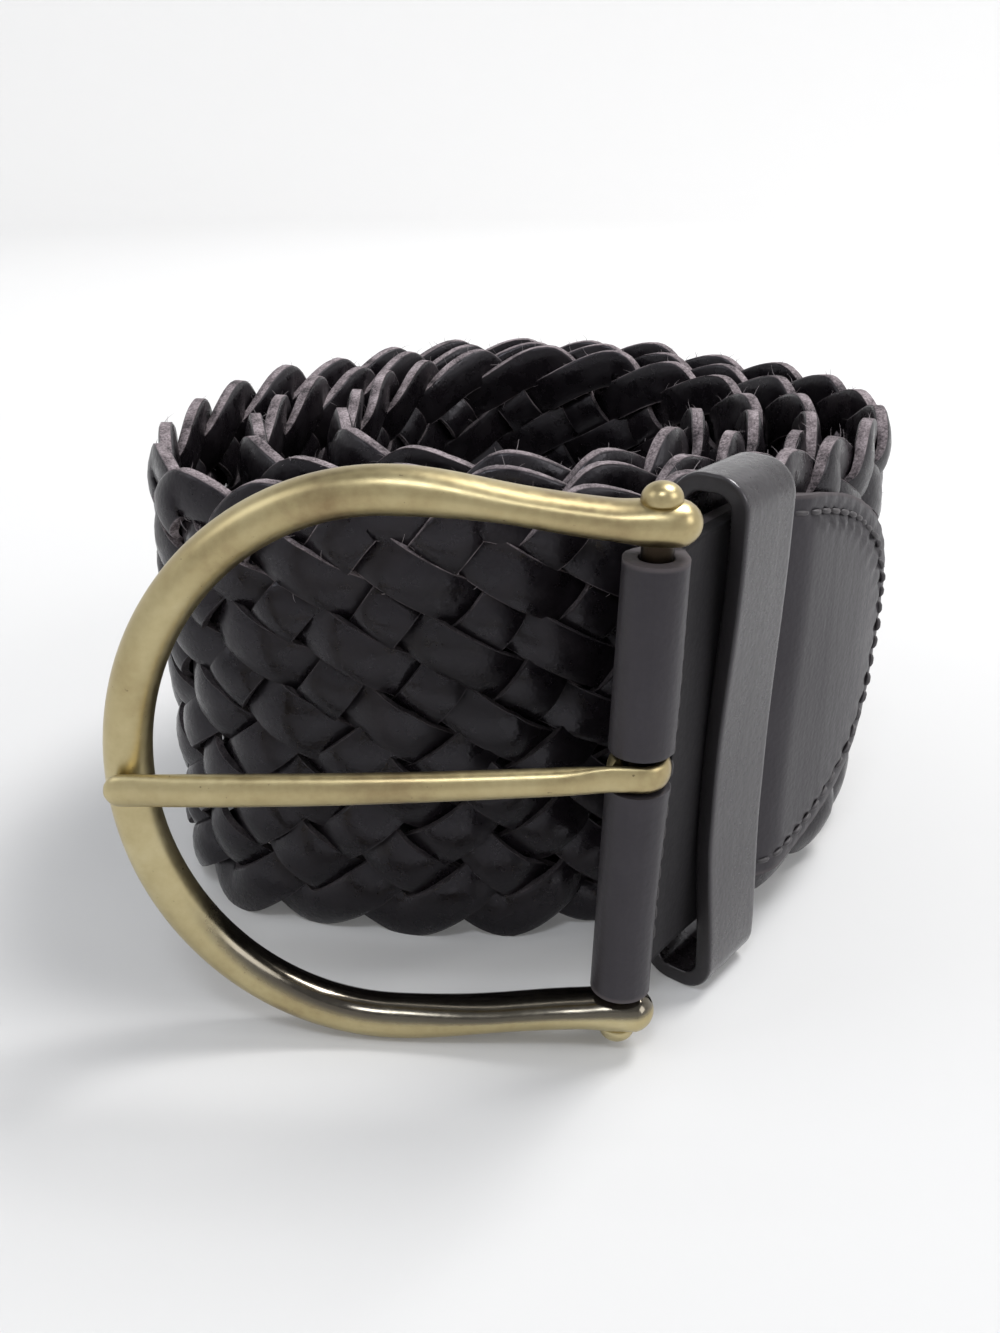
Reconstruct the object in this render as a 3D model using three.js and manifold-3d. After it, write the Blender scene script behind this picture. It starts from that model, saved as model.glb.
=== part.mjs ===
// A wide braided leather belt, rolled up and stood on its edge, with a horseshoe buckle.
// Millimetres, +Z up. The strap is rolled anticlockwise seen from above, from the buckle inwards.
// The buckle lies at the front (-Y), the leather keeper and the smooth end piece at the front right.
import * as THREE from "three";
import { mergeVertices } from "three/addons/utils/BufferGeometryUtils.js";
import Module from "manifold-3d";

const wasm = await Module();
wasm.setup();

// Braided strap
const BRAID_WIDTH = 70.6; // height of the standing strap, edge to edge
const BRAID_THICK = 4.2;
const EDGE_PITCH = 14.3; // from one edge scallop to the next
const SCALLOP_DEPTH = 2.4; // how far the edge dips between two scallops
const TAPER_LENGTH = 17; // the free end is rounded off over this length
const TIP_WIDTH = 36;

// Roll
const COIL_RADIUS = 57; // outer face of the outermost turn, on average
const ROLL_DEGREES = 1088; // from the right side, round by the back, to the free end
const SEAT_GAP = 0.3; // between pieces that touch
const BEND_GAP = 0.5; // between the braid and the end piece, which bend together
const RISE_LENGTH = 150; // the buckle lifts the strap's end off the floor over this length

// Smooth end piece, folded round the bar and stitched over the start of the braid
const TAB_WIDTH = 59.2;
const TAB_THICK = 1.7;
const TAB_LENGTH = 74; // from the bar's axis to the tip of the outer layer
const TAB_INNER_LENGTH = 68; // the same for the layer behind
const TAB_ROUND = 31; // length of the rounded tip
const LEAVE_DEGREES = 64; // it leaves the bar in this direction, from the right side
const ARRIVE_DEGREES = 101; // and meets the roll in this one
const PINCH_START = 9; // the two layers come together this far behind the bar
const PINCH_END = 31; // and part again here, to take the braid
const BRAID_START = 36; // the braid starts this far behind the bar, between the layers

// Bar and buckle
const BAR_RADIUS = 1.9;
const BAR_CLEARANCE = 0.3; // round the bar, in its eyes and in the fold
const HEAD_RADIUS = 2.4;
const HEAD_HEIGHT = 2.2;
const BAR_X = 12.1; // the bar's axis, from the middle of the roll
const BAR_Y = -79.5;
const FRAME_HEIGHT = 79;
const FRAME_REACH = 66; // from the bar's axis to the far outer edge
const FRAME_TURN = 4.5; // degrees between the frame's plane and the front
const BAR_LEAN = 1.7; // degrees that the whole buckle leans, its top away from the far side
const WIRE_WIDTH = 6; // at the far side, in the frame's plane
const WIRE_DEPTH = 6; // across the frame's plane
const ARM_SPREAD = 67.2; // between the arms' middles at the bar
const SHOULDER = 30; // from the bar to where the arms are widest apart
const EYE_OVERHANG = 4.7; // how far an arm runs on past the bar's axis

// Prong
const PRONG_WIDTH = 4.3; // along the bar, where it is widest
const PRONG_DEPTH = 3.2;
const PRONG_SHORT = 3.1; // its tip ends this far inside the frame's far edge
const PRONG_TIP_DEPTH = 2.4;
const PRONG_LOOP_DEPTH = 1.7; // where it wraps round the bar
const PRONG_LOOP_WIDTH = 0.82; // share of its width there
const PRONG_RISE = 2.8; // above the middle of the bar
const PRONG_DROP = 3.6; // its tip lies this much lower than its loop
const PRONG_OVERLAP = 3.3; // length of the tip that lies on the frame
const SLOT_CLEARANCE = 0.9; // above and below the prong in the fold

// Keeper loop
const KEEPER_HEIGHT = 74.8; // its inside is as high as the strap is wide
const KEEPER_BAND = 12.4; // width of its leather band
const KEEPER_THICK = 2.4;
const KEEPER_PLACE = 21.6; // its middle, measured along the end piece from the bar's axis
const KEEPER_TURN = 51; // degrees between its band and the front
const KEEPER_SKEW = 0.5; // extra room behind the end piece, because the band stands a little askew
const KEEPER_ROOM = 1.7; // free space in front of the end piece
const KEEPER_CORNER = 2.1; // inner radius of its bends

// Plan of the roll, a row for each sixteenth of a turn from the right side round by the back.
// reach: radius of the strap's middle at the start of its first turn, as a share of COIL_RADIUS.
// step: how much closer each turn lies than the one before, in strap thicknesses.
const PLAN = [
  { reach: 0.986, step: 2.2 },
  { reach: 0.988, step: 2 },
  { reach: 0.955, step: 1.65 },
  { reach: 0.965, step: 1.4 },
  { reach: 0.985, step: 1.36 },
  { reach: 0.96, step: 1.6 },
  { reach: 0.93, step: 2 },
  { reach: 0.955, step: 2.35 },
  { reach: 1.052, step: 2.85 },
  { reach: 1.2, step: 3.3 },
  { reach: 1.305, step: 3.4 },
  { reach: 1.16, step: 2.65 },
  { reach: 1.06, step: 1.95 },
  { reach: 1.01, step: 1.85 },
  { reach: 0.972, step: 1.9 },
  { reach: 0.975, step: 2.1 },
];

// Half of the buckle's wire, from the eye at the bar to the far side.
// along: share of the quarter from the shoulder to the far side, or of the arm where it is negative.
// width and depth: shares of the wire's width and depth there.
const WIRE = [
  { along: -1, width: 0.77, depth: 1.12 },
  { along: -0.5, width: 0.72, depth: 1.08 },
  { along: 0, width: 0.95, depth: 1.05 },
  { along: 1, width: 1, depth: 1 },
];
const SHOULDER_ROW = 2;

const leather = (color, roughness) =>
  new THREE.MeshStandardMaterial({ color, roughness, metalness: 0 });
const brass = (color, roughness) =>
  new THREE.MeshStandardMaterial({ color, roughness, metalness: 1 });

const rad = THREE.MathUtils.degToRad;
const smooth = THREE.MathUtils.smoothstep;
const lerp = THREE.MathUtils.lerp;

const positionsOnly = (geometry) => {
  const bare = geometry.clone();
  bare.deleteAttribute("normal");
  bare.deleteAttribute("uv");
  return mergeVertices(bare, 1e-4);
};

const solidOf = (geometry) => {
  const merged = positionsOnly(geometry);
  return new wasm.Manifold(
    new wasm.Mesh({
      numProp: 3,
      vertProperties: merged.attributes.position.array,
      triVerts: new Uint32Array(merged.index.array),
    }),
  );
};

const geometryOf = (solid) => {
  const mesh = solid.getMesh();
  const geometry = new THREE.BufferGeometry();
  geometry.setAttribute("position", new THREE.BufferAttribute(mesh.vertProperties, 3));
  geometry.setIndex(new THREE.BufferAttribute(mesh.triVerts, 1));
  return geometry;
};

const part = (name, geometry, material) => {
  const flat = geometry.index ? geometry.toNonIndexed() : geometry;
  flat.computeVertexNormals();
  const mesh = new THREE.Mesh(flat, material);
  mesh.name = name;
  return mesh;
};

// Six times the volume inside a closed skin, negative where its faces point inwards.
function signedVolume(points, index) {
  let sum = 0;
  for (let i = 0; i < index.length; i += 3) {
    const [a, b, c] = [points[index[i]], points[index[i + 1]], points[index[i + 2]]];
    sum += a.dot(b.clone().cross(c));
  }
  return sum;
}

// A closed skin over rings of points, each with as many points in the same order. The first and
// last ring are closed with flat faces, and the faces are turned to point outwards.
function skin(rings) {
  const sides = rings[0].length;
  const points = rings.flat();
  const index = [];
  rings.slice(1).forEach((_, k) => {
    for (let i = 0; i < sides; i++) {
      const a = k * sides + i;
      const b = k * sides + ((i + 1) % sides);
      index.push(a, b, b + sides, a, b + sides, a + sides);
    }
  });
  const last = (rings.length - 1) * sides;
  for (let i = 1; i < sides - 1; i++) {
    index.push(0, i + 1, i);
    index.push(last, last + i, last + i + 1);
  }
  if (signedVolume(points, index) < 0) index.reverse();
  const geometry = new THREE.BufferGeometry();
  geometry.setAttribute(
    "position",
    new THREE.BufferAttribute(new Float32Array(points.flatMap((p) => [p.x, p.y, p.z])), 3),
  );
  geometry.setIndex(index);
  return geometry;
}

// Value of a column of the plan at an angle, smooth all round.
function planValue(column, degrees) {
  const n = PLAN.length;
  const place = (((degrees % 360) + 360) % 360) / (360 / n);
  const i = Math.floor(place);
  const t = place - i;
  const [p0, p1, p2, p3] = [-1, 0, 1, 2].map((k) => PLAN[(i + k + n) % n][column]);
  return 0.5 * (2 * p1 + (p2 - p0) * t + (2 * p0 - 5 * p1 + 4 * p2 - p3) * t * t
    + (3 * p1 - p0 - 3 * p2 + p3) * t * t * t);
}

// The middle of the strap on the roll, at an angle counted on through the turns.
function rollPoint(degrees) {
  const radius = COIL_RADIUS * planValue("reach", degrees)
    - BRAID_THICK * planValue("step", degrees) * (degrees / 360);
  return new THREE.Vector3(radius * Math.cos(rad(degrees)), radius * Math.sin(rad(degrees)), 0);
}

// The strap's whole course: from the bar in a gentle bend to the right side of the roll, and round.
function strapCourse() {
  const start = new THREE.Vector3(BAR_X, BAR_Y, 0);
  const join = rollPoint(0);
  const reach = COIL_RADIUS * 0.5;
  const direction = (degrees) =>
    new THREE.Vector3(Math.cos(rad(degrees)), Math.sin(rad(degrees)), 0);
  const lead = new THREE.CubicBezierCurve3(
    start,
    start.clone().addScaledVector(direction(LEAVE_DEGREES), reach),
    join.clone().addScaledVector(direction(ARRIVE_DEGREES), -reach),
    join,
  );
  const points = lead.getPoints(16).slice(0, -1);
  for (let degrees = 0; degrees <= ROLL_DEGREES; degrees += 9) points.push(rollPoint(degrees));
  const course = new THREE.CatmullRomCurve3(points, false, "centripetal");
  course.arcLengthDivisions = 1600;
  return course;
}

const course = strapCourse();
const courseLength = course.getLength();

// How high the strap's middle stands above its middle in the roll, on the way from the buckle.
function riseAt(distance, barHeight) {
  return (barHeight - BRAID_WIDTH / 2) * (1 - smooth(distance, 0, RISE_LENGTH));
}

// The place on the course at a distance from the bar, moved outwards across the strap.
function onCourse(distance, out) {
  const u = THREE.MathUtils.clamp(distance / courseLength, 0, 1);
  const point = course.getPointAt(u);
  const along = course.getTangentAt(u);
  return new THREE.Vector3(point.x + along.y * out, point.y - along.x * out, 0);
}

// The standing braid: one band with scalloped edges, an oval section and a round free tip.
function braidedStrap(barHeight) {
  const quarter = EDGE_PITCH / 4;
  const steps = Math.floor((courseLength - BRAID_START) / quarter);
  const rings = [];
  for (let k = 0; k <= steps; k++) {
    const distance = BRAID_START + k * quarter;
    const left = (steps - k) * quarter;
    const taper = left < TAPER_LENGTH
      ? lerp(TIP_WIDTH / BRAID_WIDTH, 1, Math.sqrt(1 - (1 - left / TAPER_LENGTH) ** 2))
      : 1;
    const dip = SCALLOP_DEPTH * (0.5 - 0.5 * Math.cos((Math.PI * k) / 2));
    const dipBelow = SCALLOP_DEPTH * (0.5 + 0.5 * Math.cos((Math.PI * k) / 2));
    const middle = BRAID_WIDTH / 2 + riseAt(distance, barHeight);
    const top = middle + (BRAID_WIDTH / 2 - dip) * taper;
    const bottom = middle - (BRAID_WIDTH / 2 - dipBelow) * taper;
    const shoulder = BRAID_THICK * 0.5;
    const section = [
      [-0.22, bottom],
      [0.22, bottom],
      [0.5, bottom + shoulder],
      [0.5, top - shoulder],
      [0.22, top],
      [-0.22, top],
      [-0.5, top - shoulder],
      [-0.5, bottom + shoulder],
    ];
    rings.push(section.map(([out, z]) => onCourse(distance, out * BRAID_THICK).setZ(z)));
  }
  return skin(rings);
}

// How far the middle of a leather layer stands from the strap's middle, behind the bar.
function layerOffset(distance) {
  const fold = BAR_RADIUS + BAR_CLEARANCE + TAB_THICK / 2;
  const pinched = TAB_THICK / 2 + SEAT_GAP / 2;
  const opened = BRAID_THICK / 2 + BEND_GAP + TAB_THICK / 2;
  const closing = lerp(fold, pinched, smooth(distance, 0, PINCH_START));
  return closing + (opened - pinched) * smooth(distance, PINCH_END, BRAID_START);
}

// Distances from the bar along one layer, closer together over its round tip, and the layer's
// half height at each.
function layerStations(length) {
  const rows = [];
  for (let distance = 0; distance < length - TAB_ROUND - 1; distance += 3) {
    rows.push({ distance, half: TAB_WIDTH / 2 });
  }
  const tipSteps = 8;
  for (let k = tipSteps; k >= 0; k--) {
    const angle = rad(6 + (84 * k) / tipSteps);
    rows.push({
      distance: length - TAB_ROUND * (1 - Math.cos(angle)),
      half: (TAB_WIDTH / 2) * Math.sin(angle),
    });
  }
  return rows;
}

// One folded piece of leather: out along the front layer, round the bar, back along the rear one,
// with a slot in the fold for the prong. Its fold stands as high as the bar and leans with it.
function buckleTab(barHeight) {
  const buckleSide = new THREE.Vector3(Math.cos(rad(180 - FRAME_TURN)), Math.sin(rad(180 - FRAME_TURN)), 0);
  const ring = (place, normal, distance, half) => {
    const fade = 1 - smooth(distance, 0, BRAID_START);
    const middle = BRAID_WIDTH / 2 + riseAt(distance, barHeight);
    const edge = (side, up) =>
      place.clone()
        .addScaledVector(normal, side * TAB_THICK / 2)
        .addScaledVector(buckleSide, -up * Math.tan(rad(BAR_LEAN)) * fade)
        .setZ(middle + up);
    return [edge(-1, -half), edge(1, -half), edge(1, half), edge(-1, half)];
  };
  const layerRing = (sign) => ({ distance, half }) => {
    const place = onCourse(distance, sign * layerOffset(distance));
    const normal = onCourse(distance, 1).sub(onCourse(distance, 0)).multiplyScalar(sign);
    return ring(place, normal, distance, half);
  };
  const start = onCourse(0, 0);
  const out = onCourse(0, 1).sub(start);
  const back = new THREE.Vector3(out.y, -out.x, 0);
  const foldRings = [];
  const foldSteps = 12;
  for (let k = 1; k < foldSteps; k++) {
    const angle = (Math.PI * k) / foldSteps;
    const normal = out.clone().multiplyScalar(Math.cos(angle)).addScaledVector(back, Math.sin(angle));
    foldRings.push(ring(start.clone().addScaledVector(normal, layerOffset(0)), normal, 0, TAB_WIDTH / 2));
  }
  const rings = [
    ...layerStations(TAB_LENGTH).map(layerRing(1)).reverse(),
    ...foldRings,
    ...layerStations(TAB_INNER_LENGTH).map(layerRing(-1)),
  ];
  const slotReach = PINCH_START * 2;
  const slotHeight = PRONG_WIDTH + 2 * SLOT_CLEARANCE;
  const slot = new THREE.BoxGeometry(slotReach, slotReach, slotHeight);
  slot.translate(-slotReach / 2 + PINCH_START * 0.7, 0, 0);
  slot.rotateZ(rad(LEAVE_DEGREES));
  slot.translate(BAR_X, BAR_Y, barHeight + PRONG_RISE);
  return geometryOf(solidOf(skin(rings)).subtract(solidOf(slot)));
}

// A closed band seen end on: bends of one radius round corner points, joined by straight runs.
function bentOutline(corners, radius, path) {
  corners.forEach((corner, i) => {
    const before = corners[(i + corners.length - 1) % corners.length];
    const after = corners[(i + 1) % corners.length];
    const from = Math.atan2(corner.y - before.y, corner.x - before.x) - Math.PI / 2;
    const to = Math.atan2(after.y - corner.y, after.x - corner.x) - Math.PI / 2;
    path.absarc(corner.x, corner.y, radius, from, to < from ? to + 2 * Math.PI : to, false);
  });
  path.closePath();
  return path;
}

// The keeper: a loop of leather round the end piece, wide enough for the strap to pass through.
function keeperLoop() {
  const bend = KEEPER_CORNER + KEEPER_THICK;
  const tabHalf = TAB_THICK + SEAT_GAP / 2;
  const rear = -(tabHalf + SEAT_GAP + KEEPER_SKEW) + KEEPER_CORNER;
  const front = tabHalf + KEEPER_ROOM - KEEPER_CORNER;
  const corners = [
    new THREE.Vector2(rear, bend),
    new THREE.Vector2(front, bend),
    new THREE.Vector2(front, KEEPER_HEIGHT - bend),
    new THREE.Vector2(rear, KEEPER_HEIGHT - bend),
  ];
  const outline = bentOutline(corners, bend, new THREE.Shape());
  outline.holes.push(bentOutline(corners, KEEPER_CORNER, new THREE.Path()));
  const band = new THREE.ExtrudeGeometry(outline, {
    depth: KEEPER_BAND,
    bevelEnabled: false,
    curveSegments: 5,
  });
  band.translate(0, 0, -KEEPER_BAND / 2);
  // Outline x points out of the front, outline y points up, and the band runs along the end piece.
  band.rotateX(Math.PI / 2);
  band.rotateZ(rad(KEEPER_TURN - 90));
  const place = onCourse(KEEPER_PLACE, 0);
  band.translate(place.x, place.y, 0);
  return band;
}

// The buckle's own axes: x runs from the bar to the frame's far side, y forwards out of the
// frame's plane, z up along the bar from its middle.
const wireRise = (FRAME_HEIGHT - WIRE_WIDTH * WIRE[SHOULDER_ROW].width) / 2;
const wireReach = FRAME_REACH - WIRE_WIDTH / 2;

// The middle of the wire's upper half: x the distance from the bar, y the height above the middle.
// along runs as in the WIRE table.
function wireMiddle(along) {
  if (along < 0) {
    const drop = (wireRise - ARM_SPREAD / 2) * smooth(-along, 0, 1);
    return new THREE.Vector2(SHOULDER * (1 + along), wireRise - drop);
  }
  const angle = (Math.PI / 2) * along;
  return new THREE.Vector2(
    SHOULDER + (wireReach - SHOULDER) * Math.sin(angle),
    wireRise * Math.cos(angle),
  );
}

function wireSize(along) {
  const next = WIRE.findIndex((row) => row.along >= along);
  if (next <= 0) return WIRE[Math.max(next, 0)];
  const [a, b] = [WIRE[next - 1], WIRE[next]];
  const t = smooth(along, a.along, b.along);
  return { width: lerp(a.width, b.width, t), depth: lerp(a.depth, b.depth, t) };
}

// The wire's oval section at a place, for the upper half (mirror 1) or the lower one (mirror -1).
function wireRing(middle, across, width, depth, mirror) {
  const sides = 12;
  return Array.from({ length: sides }, (_, i) => {
    const angle = (2 * Math.PI * (i + 0.5)) / sides;
    const w = (width / 2) * Math.cos(angle);
    const d = (depth / 2) * Math.sin(angle);
    const z = (middle.y + across.y * w) * mirror;
    return new THREE.Vector3(middle.x + across.x * w, d, z);
  });
}

function buckleFrame() {
  const half = (mirror) => {
    const rings = [];
    const endWidth = WIRE_WIDTH * WIRE[0].width;
    const endDepth = WIRE_DEPTH * WIRE[0].depth;
    const eye = wireMiddle(-1);
    const up = new THREE.Vector2(0, 1);
    for (const angle of [12, 35, 62].map(rad)) {
      const middle = new THREE.Vector2(-EYE_OVERHANG * Math.cos(angle), eye.y);
      rings.push(wireRing(middle, up, endWidth * Math.sin(angle), endDepth * Math.sin(angle), mirror));
    }
    const armSteps = 7;
    const bowSteps = 13;
    for (let k = -armSteps; k <= bowSteps; k++) {
      const along = k < 0 ? k / armSteps : k / bowSteps;
      const middle = wireMiddle(along);
      const ahead = wireMiddle(Math.min(along + 0.02, 1)).sub(wireMiddle(Math.max(along - 0.02, -1)));
      const across = along === 1
        ? new THREE.Vector2(1, 0)
        : new THREE.Vector2(-ahead.y, ahead.x).normalize();
      const size = wireSize(along);
      rings.push(wireRing(middle, across, WIRE_WIDTH * size.width, WIRE_DEPTH * size.depth, mirror));
    }
    return rings;
  };
  const upper = half(1);
  const lower = half(-1).slice(0, -1).reverse();
  const wire = skin([...upper, ...lower]);
  const holeRadius = BAR_RADIUS + BAR_CLEARANCE;
  const hole = new THREE.CylinderGeometry(holeRadius, holeRadius, 2 * FRAME_HEIGHT, 20);
  hole.rotateX(Math.PI / 2);
  return geometryOf(solidOf(wire).subtract(solidOf(hole)));
}

// The bar: a plain round rod with a low domed head outside each arm.
function buckleBar() {
  const armFace = ARM_SPREAD / 2 + (WIRE_WIDTH * WIRE[0].width) / 2 + SEAT_GAP;
  const profile = [new THREE.Vector2(0, -armFace - HEAD_HEIGHT)];
  const domeSteps = 4;
  for (let k = 1; k <= domeSteps; k++) {
    const angle = (Math.PI / 2) * (k / domeSteps);
    profile.push(new THREE.Vector2(
      HEAD_RADIUS * Math.sin(angle), -armFace - HEAD_HEIGHT * Math.cos(angle)));
  }
  profile.push(new THREE.Vector2(BAR_RADIUS, -armFace));
  const upper = profile.slice().reverse().map((p) => new THREE.Vector2(p.x, -p.y));
  const rod = new THREE.LatheGeometry([...profile, ...upper], 20);
  rod.rotateX(Math.PI / 2);
  return rod;
}

// The prong: one bent wire, from its tip on the frame's far side to a loop round the bar.
function prong() {
  const loop = BAR_RADIUS + BAR_CLEARANCE + PRONG_LOOP_DEPTH / 2;
  const wireFace = (WIRE_DEPTH * WIRE.at(-1).depth) / 2;
  const rest = wireFace + SEAT_GAP + PRONG_TIP_DEPTH / 2;
  const reach = FRAME_REACH - PRONG_SHORT;
  const rows = [];
  const shaftSteps = 12;
  for (let k = 0; k <= shaftSteps; k++) {
    const t = k / shaftSteps;
    const depth = lerp(PRONG_TIP_DEPTH, PRONG_DEPTH, smooth(t, 0, (PRONG_OVERLAP * 4) / reach));
    const bow = (PRONG_DEPTH - PRONG_TIP_DEPTH) * 1.2 * Math.sin(Math.PI * t);
    rows.push({
      place: new THREE.Vector2(lerp(reach, PRONG_DEPTH, t), lerp(rest, loop, t) + bow),
      depth: k === 0 ? depth * 0.45 : lerp(depth, PRONG_LOOP_DEPTH, smooth(t, 0.9, 1)),
      width: k === 0 ? 0.5 : lerp(1, PRONG_LOOP_WIDTH, smooth(t, 0.2, 1)),
      drop: PRONG_DROP * (1 - t),
    });
  }
  const loopSteps = 12;
  for (let k = 0; k <= loopSteps; k++) {
    const angle = rad(90 - (300 * k) / loopSteps);
    rows.push({
      place: new THREE.Vector2(loop * Math.cos(angle), loop * Math.sin(angle)),
      depth: PRONG_LOOP_DEPTH,
      width: PRONG_LOOP_WIDTH,
      drop: 0,
    });
  }
  const rings = rows.map(({ place, depth, width, drop }, i) => {
    const before = rows[Math.max(i - 1, 0)].place;
    const after = rows[Math.min(i + 1, rows.length - 1)].place;
    const along = after.clone().sub(before).normalize();
    const across = new THREE.Vector2(-along.y, along.x);
    const sides = 10;
    return Array.from({ length: sides }, (_, s) => {
      const angle = (2 * Math.PI * s) / sides;
      const d = (depth / 2) * Math.cos(angle);
      const h = (PRONG_WIDTH / 2) * width * Math.sin(angle);
      return new THREE.Vector3(
        place.x + across.x * d, place.y + across.y * d, PRONG_RISE - drop + h);
    });
  });
  return skin(rings);
}

const DARK_LEATHER = leather(0x2b2426, 0.5);
const SMOOTH_LEATHER = leather(0x332c2e, 0.55);
const KEEPER_LEATHER = leather(0x2f2729, 0.4);
const OLD_BRASS = brass(0xa08c54, 0.35);

// The buckle stands on its lower edge, turned a little and leaning in its own plane.
const leaning = (geometry) =>
  geometry.applyMatrix4(new THREE.Matrix4().makeShear(0, 0, 0, 0, -Math.tan(rad(BAR_LEAN)), 0));

const buckle = new THREE.Group();
buckle.add(
  part("buckle_bar", leaning(buckleBar()), OLD_BRASS),
  part("buckle_frame", leaning(buckleFrame()), OLD_BRASS),
  part("prong", leaning(prong()), OLD_BRASS),
);
buckle.rotation.z = rad(180 - FRAME_TURN);
const frameBox = new THREE.Box3().setFromObject(buckle.getObjectByName("buckle_frame"), true);
const barHeight = -frameBox.min.z;
buckle.position.set(BAR_X, BAR_Y, barHeight);

const pieces = new THREE.Group();
pieces.add(
  part("braided_strap", braidedStrap(barHeight), DARK_LEATHER),
  part("buckle_tab", buckleTab(barHeight), SMOOTH_LEATHER),
  part("keeper_loop", keeperLoop(), KEEPER_LEATHER),
  buckle,
);

// The origin is the middle of the footprint, on the floor.
const bounds = new THREE.Box3().setFromObject(pieces, true);
const middle = bounds.getCenter(new THREE.Vector3());
pieces.position.set(-middle.x, -middle.y, -bounds.min.z);

const belt = new THREE.Group();
belt.add(pieces);

export default belt;
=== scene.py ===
# %% [markdown]
# # A braided leather belt, rolled up
# The real belt is a flat plait of twelve leather strands, about 70 mm wide. One end is sewn into a
# folded piece of smooth leather that holds a brass horseshoe buckle, and the whole strap is rolled
# up and stood on its edge. The solids of the belt come ready made and stay where they are. This
# script dresses each of them with a finer shape, and adds light, floor and camera.

# %% The frame and the tools
import math

import bpy
import numpy as np
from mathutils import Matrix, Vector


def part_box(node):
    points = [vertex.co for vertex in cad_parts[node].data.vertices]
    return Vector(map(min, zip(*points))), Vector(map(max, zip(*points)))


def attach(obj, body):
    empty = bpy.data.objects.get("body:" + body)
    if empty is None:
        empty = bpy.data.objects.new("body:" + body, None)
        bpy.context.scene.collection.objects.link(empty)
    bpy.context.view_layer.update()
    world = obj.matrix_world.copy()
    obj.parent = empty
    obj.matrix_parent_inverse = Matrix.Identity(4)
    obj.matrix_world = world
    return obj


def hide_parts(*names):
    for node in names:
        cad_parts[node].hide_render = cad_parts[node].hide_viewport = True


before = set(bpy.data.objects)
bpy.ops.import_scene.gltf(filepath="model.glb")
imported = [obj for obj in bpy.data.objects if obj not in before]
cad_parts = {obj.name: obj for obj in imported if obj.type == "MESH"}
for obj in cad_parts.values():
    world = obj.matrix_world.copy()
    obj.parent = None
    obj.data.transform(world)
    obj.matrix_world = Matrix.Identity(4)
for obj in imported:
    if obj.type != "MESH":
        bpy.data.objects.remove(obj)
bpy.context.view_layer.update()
MM = 0.001
print("solids:", sorted(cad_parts))

# %% [markdown]
# The braid is wound along one long plan curve, so the curve comes first. It leaves the buckle's
# bar, bends gently to the right side of the roll and then goes round and round, a little closer
# each time. A table gives the roll's radius and the step inwards at sixteenths of a turn, as shares
# of COIL_RADIUS and of the braid's thickness, and a smooth curve through them gives the rest. Sizes
# are in millimetres, measured from the roll's middle.

# %% The sizes of the belt
BRAID_WIDTH = 70.6
BRAID_THICK = 4.2
EDGE_PITCH = 14.3
COIL_RADIUS = 57
ROLL_DEGREES = 1088
BAR_X, BAR_Y = 12.1, -79.5
LEAVE_DEGREES, ARRIVE_DEGREES = 64, 101
LEAD_REACH = 0.5
BRAID_START = 36
RISE_LENGTH = 150
PLAN_REACH = [0.986, 0.988, 0.955, 0.965, 0.985, 0.96, 0.93, 0.955,
              1.052, 1.2, 1.305, 1.16, 1.06, 1.01, 0.972, 0.975]
PLAN_STEP = [2.2, 2, 1.65, 1.4, 1.36, 1.6, 2, 2.35,
             2.85, 3.3, 3.4, 2.65, 1.95, 1.85, 1.9, 2.1]

bar_low, bar_high = (np.array(corner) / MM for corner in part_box("buckle_bar"))
bar_middle = (bar_low + bar_high) / 2
SHIFT = np.array([bar_middle[0] - BAR_X, bar_middle[1] - BAR_Y, 0])
BAR_HEIGHT = bar_middle[2]
print("bar at", bar_middle.round(2), "roll's middle at", SHIFT.round(2))

# %% The plan curve
SPAN_POINTS, LEAD_POINTS = 24, 16
ROLL_STEP = 9
COURSE_STEP = 0.5


def cubic(a, b, c, d, t):
    """A smooth value between b and c at share t, with a before them and d after them."""
    return 0.5 * (2 * b + (c - a) * t + (2 * a - 5 * b + 4 * c - d) * t * t
                  + (3 * b - a - 3 * c + d) * t ** 3)


def pointing(degrees):
    """The level direction at an angle, as x and y."""
    return np.array([math.cos(math.radians(degrees)), math.sin(math.radians(degrees))])


def unit_rows(vectors):
    return vectors / np.linalg.norm(vectors, axis=1)[:, None]


def lengths_along(points):
    """The distance along a line of points, from its start to each of them."""
    return np.concatenate([[0], np.cumsum(np.linalg.norm(np.diff(points, axis=0), axis=1))])


def through(points, spacing):
    """Points on a smooth curve through the given ones, evenly spaced."""
    points = np.asarray(points, float)
    ends = np.vstack([2 * points[0] - points[1], points, 2 * points[-1] - points[-2]])
    t = np.linspace(0, 1, SPAN_POINTS, endpoint=False)[:, None]
    spans = [cubic(a, b, c, d, t) for a, b, c, d in zip(ends, ends[1:], ends[2:], ends[3:])]
    fine = np.vstack(spans + [points[-1:]])
    length = lengths_along(fine)
    stations = np.arange(0, length[-1], spacing)
    return np.column_stack([np.interp(stations, length, column) for column in fine.T])


def around(table, degrees):
    """A smooth value from a table of sixteenths of a turn."""
    place = (degrees % 360) / 360 * len(table)
    i = int(place)
    return cubic(*(table[(i + k) % len(table)] for k in (-1, 0, 1, 2)), place - i)


def roll_point(degrees):
    radius = (COIL_RADIUS * around(PLAN_REACH, degrees)
              - BRAID_THICK * around(PLAN_STEP, degrees) * degrees / 360)
    return radius * pointing(degrees)


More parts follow.
